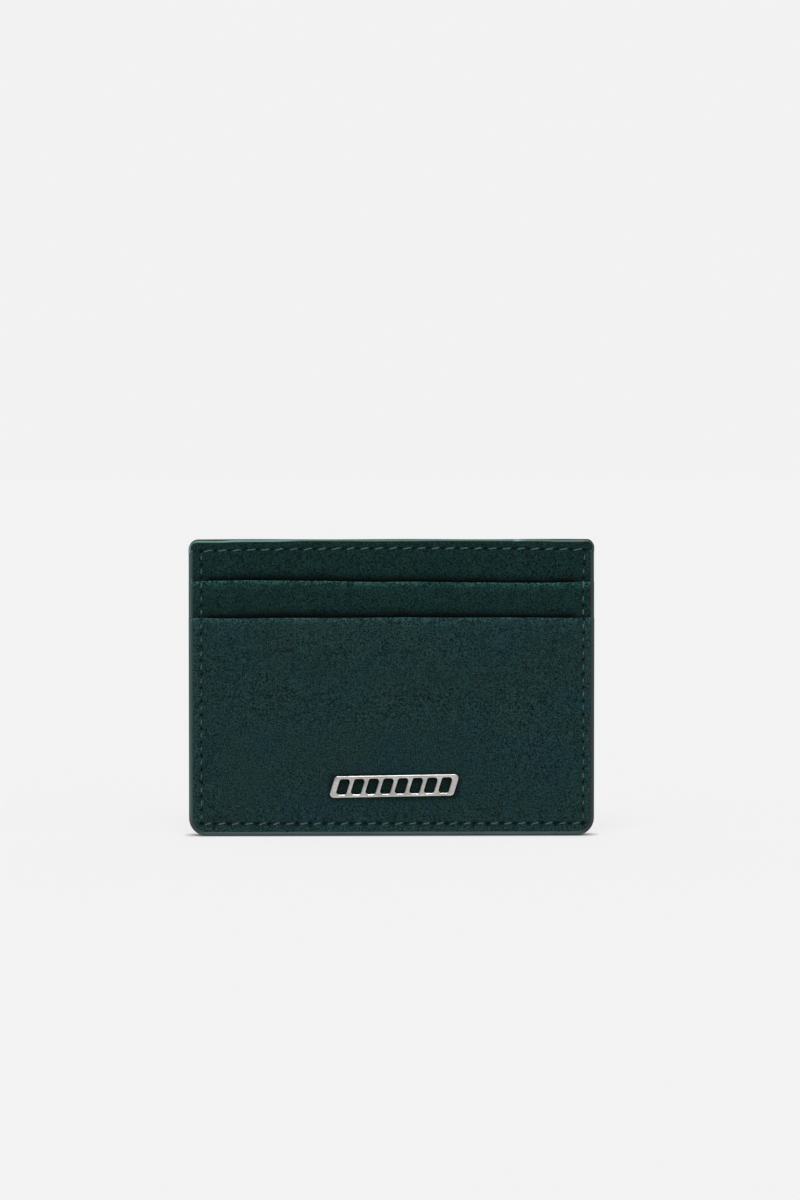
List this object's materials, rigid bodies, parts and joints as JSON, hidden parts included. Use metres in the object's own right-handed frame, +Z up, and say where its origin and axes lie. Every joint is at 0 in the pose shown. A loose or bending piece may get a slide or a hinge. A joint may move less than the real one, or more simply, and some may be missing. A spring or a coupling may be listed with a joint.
{
  "type": "card holder",
  "caption": "Flat suede card holder with a centre compartment and stepped card slots on both faces, edge painted and stitched, with a pierced metal emblem.",
  "frame": {"origin": "middle of the bottom edge that the holder stands on, midway between its two faces", "axes": "+X to the right along the slot mouths, +Z up to the open top, front face with the emblem towards -Y"},
  "size_m": [0.1, 0.0088, 0.073],
  "materials": {
    "suede": "dark green suede nap, matt",
    "lining": "fine dark green twill",
    "board": "bonded leather board",
    "thread": "green polyester sewing thread, soft sheen",
    "edge_paint": "grey-green edge paint, semi-gloss",
    "nickel": "satin nickel"
  },
  "bodies": {
    "root": {"front_lining": "lining", "back_lining": "lining", "front_stiffener": "board", "back_stiffener": "board", "front_panel": "suede", "back_panel": "suede", "front_upper_pocket": "suede", "back_upper_pocket": "suede", "front_lower_pocket": "suede", "back_lower_pocket": "suede", "front_lower_pocket_lining": "lining", "back_lower_pocket_lining": "lining", "front_upper_slot_margin": "suede", "back_upper_slot_margin": "suede", "front_lower_slot_margin": "suede", "back_lower_slot_margin": "suede", "centre_margin": "suede", "front_stop_seam_thread": "thread", "back_stop_seam_thread": "thread", "front_top_needle_thread": "thread", "back_top_needle_thread": "thread", "front_top_bobbin_thread": "thread", "back_top_bobbin_thread": "thread", "perimeter_needle_thread": "thread", "perimeter_bobbin_thread": "thread", "edge_paint": "edge_paint", "front_top_edge_paint": "edge_paint", "back_top_edge_paint": "edge_paint", "emblem": "nickel", "emblem_backing": "nickel"}
  },
  "joints": []
}
